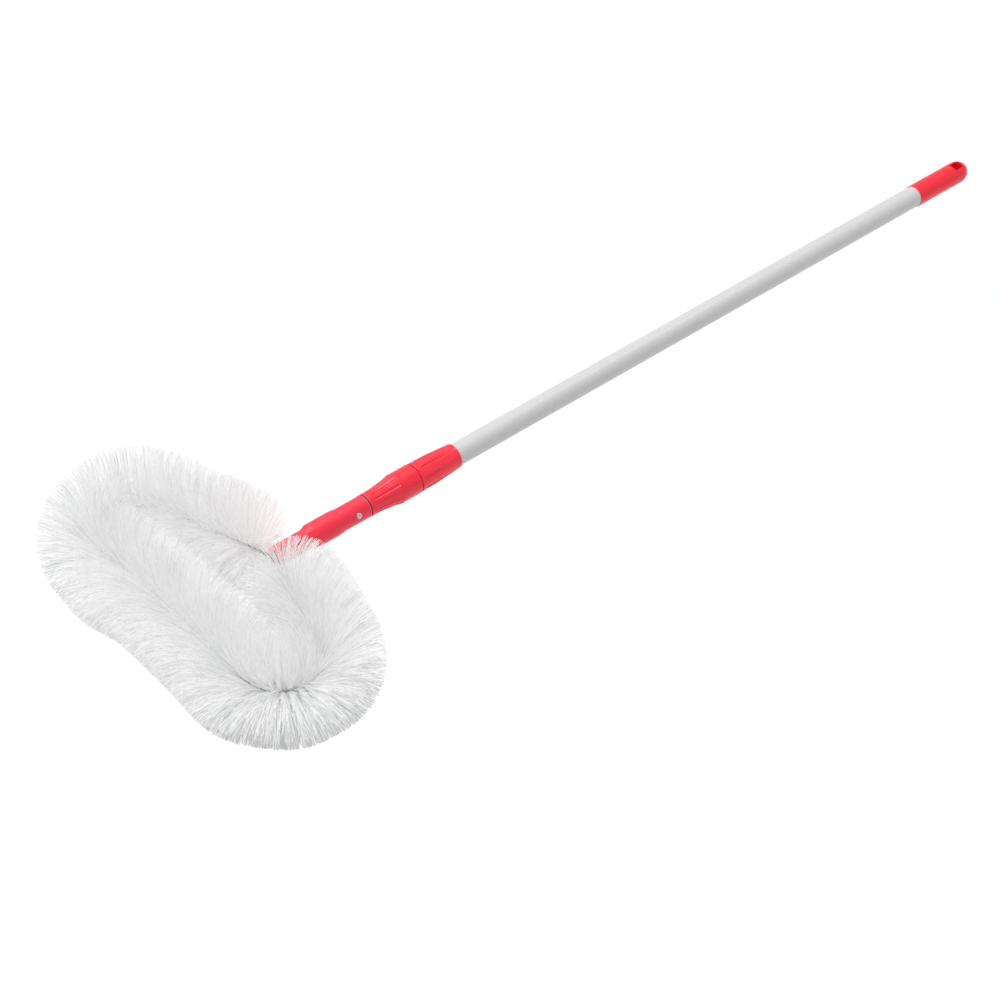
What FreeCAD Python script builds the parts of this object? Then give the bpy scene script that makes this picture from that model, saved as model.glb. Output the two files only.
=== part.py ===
import FreeCAD, Part
import math
import os

# Telescopic cobweb brush: a two-tube pole with a twist lock and a looped, twisted-wire brush head.
# Frame: +X along the pole towards the hang cap, +Y across the loop, +Z up, millimetres.
# The origin is under the middle of the brush, on the surface that the head lies on.

# Pole tubes
outer_tube_od = 25.0        # outside of the fixed tube
tube_wall = 0.5             # sheet of both tubes
tube_slack = 1.0            # radial room between the two tubes
inner_tube_length = 900.0   # sliding tube, most of it inside the outer one when pushed in

# Clearances
run_gap = 0.05              # radial, pieces that slide or turn
bond_gap = 0.05             # radial, pieces that are glued or pressed together
thread_gap = 0.10           # radial, nut on its thread, drawn as plain cylinders
face_gap = 0.20             # axial, end faces that seat on each other
wire_gap = 0.20             # radial, twisted core in its holes

# Hang cap
cap_wall = 0.80             # cap wall over the tube
cap_length = 90.2
cap_seat_depth = 44.0       # how deep the tube goes in
cap_dome_length = 17.0      # rounded end
cap_line_depth = 0.25       # fine ring line round the cap
cap_line_width = 0.60
hang_hole_length = 14.0     # along the pole
hang_hole_width = 11.2      # across the pole
hang_hole_strap = 11.4      # material left at the end of the cap
hang_hole_corner = 3.0      # rounded corners by the dome
hang_hole_turn = 10.0       # degrees round the pole, as the cap is glued on

# Twist lock: sleeve, collet and nut
spigot_wall = 3.15          # threaded spigot of the sleeve, over its bore
spigot_length = 28.4        # spigot in front of the sleeve's shoulder
lock_groove = 2.0           # open ring between nut and sleeve
sleeve_length = 53.6        # shown part of the sleeve
sleeve_stop = 15.5          # from the sleeve's shoulder to the end of the outer tube
sleeve_step = 0.30          # sleeve front is this much smaller in radius than the nut
sleeve_crown_drop = 0.55    # radius lost from the front to the crown's end
sleeve_crown_length = 22.0
sleeve_lip_wall = 1.35      # wall at the lip, over the outer tube
sleeve_lip_round = 1.2
sleeve_groove_count = 8
sleeve_groove_tool = 2.6    # radius of the finger grooves' section
sleeve_groove_depth = 1.3
sleeve_groove_start = 4.5   # from the shoulder to the round end of a groove
sleeve_groove_slope = 1.2   # degrees that a groove's floor falls towards the lip
nut_length = 62.4
nut_neck_wall = 1.8         # narrow end, over its own bore
nut_neck_gap = 0.15         # extra radial room of the neck round the tube
nut_neck_length = 12.0
nut_flare_end = 37.5        # from the narrow end to the widest part
nut_flare_mid = 30.0
nut_flare_mid_share = 0.52  # share of the flare's rise reached at nut_flare_mid
nut_thread_wall = 2.55      # wall over the thread
nut_flute_count = 14
nut_flute_tool = 2.2        # radius of the flutes' section
nut_flute_depth = 0.75
nut_flute_start = 7.0
nut_flute_end = 37.0
nut_flute_sag = 0.9         # hollow of the flute line, which follows the flare
collet_length = 16.0
collet_nose_wall = 0.65
collet_taper = 7.5          # degrees
collet_slit = 2.0
collet_slit_count = 4
collet_ring = 4.0           # unslit length at the back

# Guide bush on the inner end of the sliding tube
guide_length = 14.0         # part that runs in the outer tube
guide_plug_length = 18.0    # part inside the sliding tube
guide_bore = 12.0
guide_room = 15.8           # outer tube left behind the bush with the pole pushed in

# Brush socket
head_gap = 1.7              # open ring between socket and nut with the pole pushed in
socket_sleeve_wall = 1.60   # over the sliding tube
socket_sleeve_length = 34.5
socket_rim_height = 0.30    # bead round the open end
socket_rim_length = 1.5
socket_bulge_wall = 2.65
socket_bulge_length = 35.4
socket_taper_length = 7.0   # end of the bulge that falls towards the step
socket_step = 0.45          # radial, from the end of the bulge down to the sleeve
socket_shoulder_length = 5.4
nozzle_length = 40.2
nozzle_od = 22.4
nozzle_tip_od = 21.8
nozzle_mouth_d = 17.4       # open mouth in which the wires spread
nozzle_mouth_depth = 13.0
wire_hole_depth = 30.0      # wire holes behind the mouth
tube_seat = 58.0            # from the tip to the end of the sliding tube

# Blind rivet through socket and sliding tube
rivet_from_end = 15.9       # from the socket's open end
rivet_angle = 20.0          # degrees above the loop's plane, on the -Y side
rivet_shank_d = 3.2
rivet_head_d = 6.4
rivet_head_height = 1.1
rivet_bulb_d = 4.8
rivet_bulb_length = 2.0
mandrel_d = 1.7
mandrel_sink = 0.5          # broken stem below the head's face
mandrel_head_d = 3.0
mandrel_head_length = 1.6

# Twisted wire loop
wire_d = 1.9                # each of the two strands
strand_gap = 0.10           # between the two strands
twist_pitch = 14.0
loop_depth = 124.5          # from the socket's tip to the far side
loop_half = 121.7           # middle of the far side to the start of a rounded end
loop_end_radius = 42.4
far_bow = 5.0               # how far the middle of the far side is drawn in
wire_hole_offset = 3.0      # wire holes either side of the pole's axis
wire_bend_radius = 10.5     # from the holes into the legs

# Bristle piles on the wire
bristle_reach = 59.0        # wire centre to bristle tips
pile_gap = 0.40             # between neighbouring piles
pile_bore_gap = 0.25        # radial, round the twisted core
pile_start = 14.0           # bare start of a leg beside the nozzle
pile_notch = 4.0            # how far the bare start reaches inside the leg's line
pile_skin = 1.0             # closed skin over the bristle tips, hollow below because a pile is mostly air

# Derived radii
outer_r = outer_tube_od / 2
outer_bore_r = outer_r - tube_wall
inner_r = outer_bore_r - tube_slack
inner_bore_r = inner_r - tube_wall
bush_r = inner_r + run_gap
spigot_r = bush_r + spigot_wall
thread_r = spigot_r + thread_gap
nut_r = thread_r + nut_thread_wall
nut_bore_r = bush_r + nut_neck_gap
nut_neck_r = nut_bore_r + nut_neck_wall
sleeve_front_r = nut_r - sleeve_step
sleeve_crown_r = sleeve_front_r - sleeve_crown_drop
sleeve_bore_r = outer_r + bond_gap
sleeve_lip_r = sleeve_bore_r + sleeve_lip_wall
cap_bore_r = outer_r + bond_gap
cap_r = cap_bore_r + cap_wall
socket_bore_r = inner_r + bond_gap
socket_sleeve_r = socket_bore_r + socket_sleeve_wall
socket_bulge_r = socket_bore_r + socket_bulge_wall
socket_step_r = socket_sleeve_r + socket_step
wire_r = wire_d / 2
twist_r = wire_r + strand_gap / 2
core_r = twist_r + wire_r

# Derived stations along the pole, from the socket's tip
bulge_x = nozzle_length + socket_shoulder_length
step_x = bulge_x + socket_bulge_length
socket_end_x = step_x + socket_sleeve_length
nut_x = socket_end_x + head_gap
nut_end_x = nut_x + nut_length
sleeve_x = nut_end_x + lock_groove
spigot_x = sleeve_x - spigot_length
outer_tube_x = sleeve_x + sleeve_stop
sleeve_end_x = sleeve_x + sleeve_length
inner_tube_x = tube_seat + face_gap
inner_tube_end_x = inner_tube_x + inner_tube_length
outer_tube_end_x = inner_tube_end_x + face_gap + guide_length + guide_room
cap_x = outer_tube_end_x - cap_seat_depth
cap_end_x = cap_x + cap_length
head_end_x = -(loop_depth + bristle_reach)
shift_x = -(cap_end_x + head_end_x) / 2
axis_z = bristle_reach

X_AXIS = FreeCAD.Vector(1, 0, 0)
Y_AXIS = FreeCAD.Vector(0, 1, 0)
Z_AXIS = FreeCAD.Vector(0, 0, 1)


def vec(x, y, z=0.0):
    """A point in the pole's frame, with the socket's tip at zero."""
    return FreeCAD.Vector(x, y, z)


def tangent_arc(start, corner, end):
    """The arc from start to end that leaves towards the corner and arrives from it."""
    middle = (start + end) * 0.5
    half_chord = (end - start).Length / 2
    out = corner - middle
    rise = half_chord * math.tan(math.atan2(out.Length, half_chord) / 2)
    out.normalize()
    return Part.Arc(start, middle + out * rise, end).toShape()


def rounded_wire(corners):
    """A closed outline through (x, r, rounding) corners, each rounded as far as its sides allow."""
    points = [vec(x, r) for x, r, _ in corners]
    count = len(points)
    cuts = []
    for i, (_, _, radius) in enumerate(corners):
        back = points[i - 1] - points[i]
        ahead = points[(i + 1) % count] - points[i]
        turn = math.pi - back.getAngle(ahead)
        reach = radius * math.tan(turn / 2)
        reach = min(reach, 0.49 * back.Length, 0.49 * ahead.Length)
        back.normalize()
        ahead.normalize()
        cuts.append((points[i] + back * reach, points[i] + ahead * reach, reach > 1e-4 and turn > 1e-4))
    edges = []
    for i in range(count):
        entry, leave, is_round = cuts[i]
        if is_round:
            edges.append(tangent_arc(entry, points[i], leave))
        else:
            leave = points[i]
        following = cuts[(i + 1) % count]
        target = following[0] if following[2] else points[(i + 1) % count]
        edges.append(Part.LineSegment(leave, target).toShape())
    return Part.Wire(edges)


def turned(corners):
    """A solid turned about the pole's axis from its outline."""
    return Part.Face(rounded_wire(corners)).revolve(vec(0, 0), X_AXIS, 360)


def ring(x_start, x_end, r_in, r_out):
    """A plain tube on the pole's axis."""
    return turned([(x_start, r_in, 0), (x_end, r_in, 0), (x_end, r_out, 0), (x_start, r_out, 0)])


def rod(x_start, x_end, radius, y=0.0):
    """A plain cylinder along the pole."""
    return Part.makeCylinder(radius, x_end - x_start, vec(x_start, y), X_AXIS)


def around(shape, count, first=0.0):
    """Copies of a shape at even angles about the pole's axis."""
    copies = []
    for i in range(count):
        copy = shape.copy()
        copy.rotate(vec(0, 0), X_AXIS, first + 360.0 * i / count)
        copies.append(copy)
    return Part.makeCompound(copies)


def single(shape):
    """The one solid of a shape, or an error that says how many there are."""
    if len(shape.Solids) != 1:
        raise ValueError("expected one solid, found %d" % len(shape.Solids))
    return shape.Solids[0]


def save(name, shape):
    """Moves a finished piece to the brush's own frame and writes it."""
    placed = shape.copy()
    placed.translate(vec(shift_x, 0, axis_z))
    placed.exportStep("parts/%s.step" % name)
    print("%-20s volume %10.1f mm3 valid %s" % (name, placed.Volume, placed.isValid()))


def make_outer_tube():
    """The fixed tube, from the stop in the sleeve to the end of the cap's bore."""
    return ring(outer_tube_x + face_gap, outer_tube_end_x - face_gap, outer_bore_r, outer_r)


def make_inner_tube():
    """The sliding tube, with the rivet's hole near its outer end."""
    tube = ring(inner_tube_x, inner_tube_end_x, inner_bore_r, inner_r)
    return single(tube.cut(rivet_rod(rivet_shank_d / 2 + bond_gap, 0, outer_r)))


def make_guide_bush():
    """Bush that runs in the outer tube, with a plug in the end of the sliding tube."""
    x0 = inner_tube_end_x + face_gap
    run_r = outer_bore_r - run_gap
    plug_r = inner_bore_r - run_gap
    bore_r = guide_bore / 2
    return turned([
        (x0 - guide_plug_length, bore_r, 0),
        (x0 + guide_length, bore_r, 0),
        (x0 + guide_length, run_r, 0.8),
        (x0, run_r, 0.5),
        (x0, plug_r, 0),
        (x0 - guide_plug_length, plug_r, 1.0),
    ])


def make_hang_cap():
    """Round-ended cap with a square-sided hang hole straight through."""
    dome_x = cap_end_x - cap_dome_length
    line_x = cap_x + cap_seat_depth
    half_line = cap_line_width / 2
    outline = [
        vec(cap_x, cap_bore_r),
        vec(cap_x + cap_seat_depth, cap_bore_r),
        vec(cap_x + cap_seat_depth, 0),
        vec(cap_end_x, 0),
    ]
    edges = [Part.LineSegment(outline[i], outline[i + 1]).toShape() for i in range(3)]
    # The dome is a quarter of an ellipse, as long as it needs to be.
    if cap_dome_length >= cap_r:
        oval = Part.Ellipse(vec(dome_x + cap_dome_length, 0), vec(dome_x, cap_r), vec(dome_x, 0))
        edges.append(Part.ArcOfEllipse(oval, 0, math.pi / 2).toShape())
    else:
        oval = Part.Ellipse(vec(dome_x, cap_r), vec(dome_x - cap_dome_length, 0), vec(dome_x, 0))
        edges.append(Part.ArcOfEllipse(oval, -math.pi / 2, 0).toShape())
    body = [
        vec(dome_x, cap_r),
        vec(line_x + half_line, cap_r),
        vec(line_x, cap_r - cap_line_depth),
        vec(line_x - half_line, cap_r),
        vec(cap_x, cap_r),
        vec(cap_x, cap_bore_r),
    ]
    edges += [Part.LineSegment(body[i], body[i + 1]).toShape() for i in range(5)]
    cap = Part.Face(Part.Wire(Part.__sortEdges__(edges))).revolve(vec(0, 0), X_AXIS, 360)
    hole_end = cap_end_x - hang_hole_strap
    half = hang_hole_width / 2
    opening = rounded_wire([
        (hole_end - hang_hole_length, -half, 0),
        (hole_end, -half, hang_hole_corner),
        (hole_end, half, hang_hole_corner),
        (hole_end - hang_hole_length, half, 0),
    ])
    tool = Part.Face(opening).extrude(Z_AXIS * (4 * cap_r))
    tool.translate(Z_AXIS * (-2 * cap_r))
    tool.rotate(vec(0, 0), X_AXIS, hang_hole_turn)
    return single(cap.cut(tool))


def make_lock_sleeve():
    """Sleeve glued on the outer tube, with finger grooves and a spigot that carries the nut's thread."""
    x0 = sleeve_x
    body = turned([
        (spigot_x, bush_r, 0.4),
        (outer_tube_x, bush_r, 0),
        (outer_tube_x, sleeve_bore_r, 0),
        (sleeve_end_x, sleeve_bore_r, 0.3),
        (sleeve_end_x, sleeve_lip_r, sleeve_lip_round),
        (x0 + sleeve_crown_length, sleeve_crown_r, 90.0),
        (x0, sleeve_front_r, 0.8),
        (x0, spigot_r, 0),
        (spigot_x, spigot_r, 0.5),
    ])
    floor_r = sleeve_crown_r + sleeve_crown_drop / 2 - sleeve_groove_depth
    start = vec(x0 + sleeve_groove_start + sleeve_groove_tool, 0, floor_r + sleeve_groove_tool)
    slope = math.radians(sleeve_groove_slope)
    along = vec(math.cos(slope), 0, -math.sin(slope))
    finger = Part.makeCylinder(sleeve_groove_tool, sleeve_length, start, along)
    finger = finger.fuse(Part.makeSphere(sleeve_groove_tool, start))
    return single(body.cut(around(finger, sleeve_groove_count, 360.0 / sleeve_groove_count / 2)))


def nut_cone_radius(x):
    """Radius of the nut's inner cone, measured from the collet's nose."""
    nose_r = bush_r + collet_nose_wall + thread_gap
    return nose_r + math.tan(math.radians(collet_taper)) * x


def make_lock_nut():
    """Flared twist nut with an inner cone for the collet and long flutes outside."""
    x0 = nut_x
    nose_x = spigot_x - face_gap - collet_length
    cone_end_x = spigot_x - face_gap
    mid_r = nut_neck_r + (nut_r - nut_neck_r) * nut_flare_mid_share
    body = turned([
        (x0, nut_bore_r, 0.3),
        (nose_x - face_gap, nut_bore_r, 0),
        (nose_x - face_gap, nut_cone_radius(-face_gap), 0),
        (cone_end_x, nut_cone_radius(collet_length), 0),
        (cone_end_x, thread_r, 0),
        (nut_end_x, thread_r, 0.4),
        (nut_end_x, nut_r, 0.8),
        (x0 + nut_flare_end, nut_r, 14.0),
        (x0 + nut_flare_mid, mid_r, 25.0),
        (x0 + nut_neck_length, nut_neck_r, 40.0),
        (x0, nut_neck_r, 0.6),
    ])
    lift = nut_flute_tool - nut_flute_depth
    first = vec(x0 + nut_flute_start, 0, nut_neck_r + lift)
    last = vec(x0 + nut_flute_end, 0, nut_r + lift)
    chord = last - first
    side = Y_AXIS.cross(chord)
    side.normalize()
    middle = (first + last) * 0.5 - side * math.copysign(nut_flute_sag, side.z)
    path = Part.Wire([Part.Arc(first, middle, last).toShape()])
    heading = path.Edges[0].tangentAt(path.Edges[0].FirstParameter)
    section = Part.Wire([Part.makeCircle(nut_flute_tool, first, heading)])
    flute = path.makePipeShell([section], True, False)
    flute = flute.fuse([Part.makeSphere(nut_flute_tool, first), Part.makeSphere(nut_flute_tool, last)])
    return single(body.cut(around(flute, nut_flute_count, 360.0 / nut_flute_count / 2)))


def make_lock_collet():
    """Slit, tapered ring that the nut squeezes onto the sliding tube."""
    nose_x = spigot_x - face_gap - collet_length
    back_x = nose_x + collet_length
    back_r = nut_cone_radius(collet_length) - thread_gap
    ring_solid = turned([
        (nose_x, bush_r, 0.2),
        (back_x - face_gap, bush_r, 0.2),
        (back_x - face_gap, back_r - math.tan(math.radians(collet_taper)) * face_gap, 0.2),
        (nose_x, nut_cone_radius(0) - thread_gap, 0.2),
    ])
    through = Part.makeBox(collet_length * 2, collet_slit, 2 * back_r)
    through.translate(vec(nose_x - collet_length / 2, -collet_slit / 2, 0))
    ring_solid = ring_solid.cut(through)
    part_way = Part.makeBox(collet_length - collet_ring + collet_length, collet_slit, 2 * back_r)
    part_way.translate(vec(nose_x - collet_length, -collet_slit / 2, 0))
    for i in range(1, collet_slit_count):
        copy = part_way.copy()
        copy.rotate(vec(0, 0), X_AXIS, 360.0 * i / collet_slit_count)
        ring_solid = ring_solid.cut(copy)
    return single(ring_solid)


def rivet_rod(radius, r_start, r_end):
    """A cylinder on the rivet's axis, between two distances from the pole's axis."""
    angle = math.radians(rivet_angle)
    out = vec(0, -math.cos(angle), math.sin(angle))
    foot = vec(socket_end_x - rivet_from_end, 0) + out * r_start
    return Part.makeCylinder(radius, r_end - r_start, foot, out)


def make_socket():
    """Moulded socket: sleeve over the sliding tube, bulge, and a nozzle that holds the wire ends."""
    mouth_r = nozzle_mouth_d / 2
    body = turned([
        (0, mouth_r, 0.6),
        (nozzle_mouth_depth, mouth_r, 2.0),
        (nozzle_mouth_depth, 0, 0),
        (tube_seat, 0, 0),
        (tube_seat, socket_bore_r, 0),
        (socket_end_x, socket_bore_r, 0.3),
        (socket_end_x, socket_sleeve_r + socket_rim_height, 0.5),
        (socket_end_x - socket_rim_length, socket_sleeve_r + socket_rim_height, 0.4),
        (socket_end_x - socket_rim_length, socket_sleeve_r, 0.1),
        (step_x, socket_sleeve_r, 0.5),
        (step_x, socket_step_r, 0.3),
        (step_x - socket_taper_length, socket_bulge_r, 12.0),
        (bulge_x, socket_bulge_r, 6.0),
        (nozzle_length, nozzle_od / 2, 4.0),
        (0, nozzle_tip_od / 2, 0.8),
    ])
    hole_r = core_r + wire_gap
    holes = [
        rod(nozzle_mouth_depth / 2, nozzle_mouth_depth + wire_hole_depth, hole_r, y)
        for y in (-wire_hole_offset, wire_hole_offset)
    ]
    return single(body.cut(holes + [rivet_rod(rivet_shank_d / 2 + bond_gap, 0, 2 * outer_r)]))


def make_rivet():
    """Blind rivet body: shaped head on the socket, shank and bulb inside the tube."""
    shank_r = rivet_shank_d / 2
    head_top = socket_sleeve_r + rivet_head_height
    head = rivet_rod(rivet_head_d / 2, socket_sleeve_r - rivet_head_height, head_top)
    rim = [e for e in head.Edges if abs(e.CenterOfMass.distanceToPoint(vec(
        socket_end_x - rivet_from_end, 0)) - head_top) < 0.01]
    head = head.makeFillet(min(0.6, rivet_head_height / 2), rim)
    head = head.cut(rod(0, socket_end_x + outer_r, socket_sleeve_r + bond_gap))
    shank = rivet_rod(shank_r, inner_bore_r - rivet_bulb_length, head_top - rivet_head_height / 2)
    bulb = rivet_rod(rivet_bulb_d / 2, inner_bore_r - rivet_bulb_length, inner_r)
    bulb = bulb.common(rod(0, socket_end_x + outer_r, inner_bore_r - bond_gap))
    bore = rivet_rod(mandrel_d / 2 + bond_gap, 0, 2 * outer_r)
    return single(head.fuse([shank, bulb]).removeSplitter().cut(bore))


def make_mandrel():
    """Broken-off stem that is left in the rivet, with its head behind the bulb."""
    top = socket_sleeve_r + rivet_head_height - mandrel_sink
    bottom = inner_bore_r - rivet_bulb_length - face_gap
    stem = rivet_rod(mandrel_d / 2, bottom - mandrel_head_length / 2, top)
    head = rivet_rod(mandrel_head_d / 2, bottom - mandrel_head_length, bottom)
    return single(stem.fuse(head).removeSplitter())


# Wire loop, drawn in its own plane: y across the pole, d away from the socket's tip.
corner_y = loop_half
corner_d = loop_depth - loop_end_radius
corner_away = math.hypot(corner_y, corner_d)
leg_angle = math.atan2(corner_d, corner_y) - math.asin(loop_end_radius / corner_away)
leg_length = math.sqrt(corner_away ** 2 - loop_end_radius ** 2)
leg_cos = math.cos(leg_angle)
leg_sin = math.sin(leg_angle)
# The far side is a shallow arc that bows in and runs smoothly into both ends.
bow_angle = 2 * math.atan2(far_bow, loop_half)
bow_cos = math.cos(bow_angle)
bow_sin = math.sin(bow_angle)
far_radius = loop_half / bow_sin - loop_end_radius
far_centre_d = corner_d + (loop_end_radius + far_radius) * bow_cos
far_middle_d = far_centre_d - far_radius


def in_loop(y, d, z=0.0):
    """A point of the loop's plane in the pole's frame."""
    return vec(-d, y, z)


def core_stretches():
    """The core's centre line: stretches of (start y, start d, heading, length, turn per millimetre).

    Headings are angles in the (y, d) plane. The line starts in the nozzle's +y hole, bends into
    that leg, goes round the far side and comes back into the -y hole.
    """
    bend_turn = math.pi / 2 - leg_angle
    bend_cut = wire_bend_radius * math.tan(bend_turn / 2)
    corner_in = wire_hole_offset * math.tan(leg_angle)
    start_d = wire_d - nozzle_mouth_depth - wire_hole_depth
    hole_run = (corner_in - bend_cut - start_d, 0.0)
    bend = (wire_bend_radius * bend_turn, -1.0 / wire_bend_radius)
    leg = (leg_length - wire_hole_offset / leg_cos - bend_cut, 0.0)
    end = (loop_end_radius * (math.pi - leg_angle + bow_angle), 1.0 / loop_end_radius)
    far = (2 * bow_angle * far_radius, -1.0 / far_radius)
    y, d, heading = wire_hole_offset, start_d, math.pi / 2
    stretches = []
    for length, rate in (hole_run, bend, leg, end, far, end, leg, bend, hole_run):
        stretches.append((y, d, heading, length, rate))
        y, d, heading = along_stretch(stretches[-1], length)
    return stretches


def along_stretch(stretch, s):
    """Place and heading at a distance s along one stretch."""
    y, d, heading, _, rate = stretch
    if rate == 0.0:
        return y + s * math.cos(heading), d + s * math.sin(heading), heading
    turned_to = heading + s * rate
    y += (math.sin(turned_to) - math.sin(heading)) / rate
    d -= (math.cos(turned_to) - math.cos(heading)) / rate
    return y, d, turned_to


core_line = core_stretches()
core_length = sum(stretch[3] for stretch in core_line)


def core_at(s):
    """Place and heading at a distance s along the whole centre line."""
    for stretch in core_line[:-1]:
        if s <= stretch[3]:
            return along_stretch(stretch, s)
        s -= stretch[3]
    return along_stretch(core_line[-1], s)


def core_wire_path():
    """The centre line as lines and arcs, for the bore through the bristles."""
    edges = []
    for stretch in core_line:
        length = stretch[3]
        y0, d0, _ = along_stretch(stretch, 0)
        y1, d1, _ = along_stretch(stretch, length)
        if stretch[4] == 0.0:
            edges.append(Part.LineSegment(in_loop(y0, d0), in_loop(y1, d1)).toShape())
        else:
            ym, dm, _ = along_stretch(stretch, length / 2)
            edges.append(Part.Arc(in_loop(y0, d0), in_loop(ym, dm), in_loop(y1, d1)).toShape())
    return Part.Wire(edges)


twist_turns = round(core_length / twist_pitch)


def strand_point(s, phase):
    """A point on one strand: the core's centre line plus a turning offset of twist_r."""
    y, d, heading = core_at(s)
    angle = 2 * math.pi * twist_turns * s / core_length + phase
    side = twist_r * math.cos(angle)
    return in_loop(y - side * math.sin(heading), d + side * math.cos(heading), twist_r * math.sin(angle))


def strand_heading(s, phase):
    """Unit tangent of a strand."""
    step = 0.01
    way = strand_point(min(s + step, core_length), phase) - strand_point(max(s - step, 0.0), phase)
    way.normalize()
    return way


def biarc(start, start_way, end, end_way):
    """Two tangent arcs from one point and direction to another."""
    span = end - start
    both = start_way + end_way
    a = 2 * (1 - start_way.dot(end_way))
    b = 2 * span.dot(both)
    c = -span.dot(span)
    reach = -c / b if abs(a) < 1e-12 else (-b + math.sqrt(b * b - 4 * a * c)) / (2 * a)
    first = start + start_way * reach
    second = end - end_way * reach
    joint = (first + second) * 0.5
    edges = []
    for p, corner, q in ((start, first, joint), (joint, second, end)):
        bulge = (corner - (p + q) * 0.5).Length
        edges.append(Part.LineSegment(p, q).toShape() if bulge < 1e-6 else tangent_arc(p, corner, q))
    return edges


def make_strand(phase):
    """One round wire of the twisted core, a quarter turn to each pair of arcs."""
    count = 4 * twist_turns
    stations = [core_length * i / count for i in range(count + 1)]
    points = [strand_point(s, phase) for s in stations]
    ways = [strand_heading(s, phase) for s in stations]
    edges = []
    for i in range(count):
        edges += biarc(points[i], ways[i], points[i + 1], ways[i + 1])
    path = Part.Wire(edges)
    section = Part.Wire([Part.makeCircle(wire_r, points[0], ways[0])])
    strand = path.makePipeShell([section], True, False)
    ideal = math.pi * wire_r ** 2 * path.Length
    print("strand length %.1f mm, volume over section times length %.6f" % (path.Length, strand.Volume / ideal))
    return strand


def report_gaps():
    """Prints the least gap of a strand to itself and between the two strands."""
    count = 24 * twist_turns
    stations = [core_length * i / count for i in range(count + 1)]
    first = [strand_point(s, 0.0) for s in stations]
    second = [strand_point(s, math.pi) for s in stations]
    near = int(math.ceil(2 * twist_pitch / (core_length / count)))
    step = 3
    own = min(
        first[i].distanceToPoint(first[j])
        for i in range(0, count + 1, step)
        for j in range(i + near, count + 1, step)
    )
    pair = min(
        first[i].distanceToPoint(second[j])
        for i in range(0, count + 1)
        for j in range(max(0, i - 8), min(count, i + 8) + 1)
    )
    print("least gap of a strand to itself %.2f mm, between the strands %.2f mm" % (own - wire_d, pair - wire_d))


# Bristle piles: round bodies about the core, parted where bristles of neighbouring stretches meet.
# Each is drawn twice, as its outside and, drawn in by the skin, as its hollow.
meeting_d = far_middle_d / (1 + leg_cos)
pile_bore_r = core_r + pile_bore_gap
clear = bristle_reach + loop_end_radius


def core_bore(radius):
    """A round bore along the whole twisted core."""
    path = core_wire_path()
    first = path.Edges[0]
    start = first.valueAt(first.FirstParameter)
    way = first.tangentAt(first.FirstParameter)
    return path.makePipeShell([Part.Wire([Part.makeCircle(radius, start, way)])], True, False)


def prism(points, inset):
    """An upright block over a convex outline in the loop's plane, with each side drawn in."""
    count = len(points)
    middle_y = sum(p[0] for p in points) / count
    middle_d = sum(p[1] for p in points) / count
    block = Part.makeBox(8 * clear, 8 * clear, 4 * bristle_reach)
    block.translate(in_loop(middle_y, middle_d) - vec(4 * clear, 4 * clear, 2 * bristle_reach))
    for i in range(count):
        y0, d0 = points[i]
        y1, d1 = points[(i + 1) % count]
        run = math.hypot(y1 - y0, d1 - d0)
        ny, nd = (d1 - d0) / run, -(y1 - y0) / run
        if (middle_y - y0) * ny + (middle_d - d0) * nd > 0:
            ny, nd = -ny, -nd
        away = Part.makeBox(12 * clear, 24 * clear, 4 * bristle_reach)
        away.translate(vec(0, -12 * clear, -2 * bristle_reach))
        out = in_loop(ny, nd)
        away.rotate(vec(0, 0), Z_AXIS, math.degrees(math.atan2(out.y, out.x)))
        away.translate(in_loop(y0, d0) - out * inset)
        block = block.cut(away)
    return block


def far_body(reach, inset):
    """Space of the bristles on the far side, turned about the centre of its bow."""
    axis = in_loop(0, far_centre_d)
    disc = Part.Face(Part.Wire([Part.makeCircle(reach, in_loop(0, far_middle_d), Y_AXIS)]))
    disc.rotate(axis, Z_AXIS, -math.degrees(bow_angle))
    body = disc.revolve(axis, Z_AXIS, 2 * math.degrees(bow_angle))
    out_y = corner_y - 2 * clear * bow_sin
    out_d = corner_d + 2 * clear * bow_cos
    outline = [
        (-corner_y, corner_d),
        (0.0, meeting_d),
        (corner_y, corner_d),
        (out_y, out_d),
        (-out_y, out_d),
    ]
    return body.common(prism(outline, inset))


def end_body(side, reach, inset):
    """Space of the bristles on one rounded end, turned about the end's centre."""
    disc = Part.Face(Part.Wire([Part.makeCircle(reach, vec(loop_end_radius, 0, 0), Y_AXIS)]))
    keep = Part.makePlane(4 * clear, 4 * clear, vec(0, 0, 2 * clear), Y_AXIS, X_AXIS)
    leg_degrees = math.degrees(leg_angle)
    bow_degrees = math.degrees(bow_angle)
    turn = 180.0 - leg_degrees + bow_degrees
    body = disc.common(keep).Faces[0].revolve(vec(0, 0), Z_AXIS, turn)
    body.rotate(vec(0, 0), Z_AXIS, leg_degrees if side > 0 else 180.0 - bow_degrees)
    body.translate(in_loop(side * corner_y, corner_d))
    outline = [
        (side * corner_y, corner_d),
        (side * (corner_y - 3 * clear * bow_sin), corner_d + 3 * clear * bow_cos),
        (side * (corner_y + 3 * clear), corner_d + clear),
        (side * (corner_y + 3 * clear * leg_sin), corner_d - 3 * clear * leg_cos),
    ]
    return body.common(prism(outline, inset))


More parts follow.
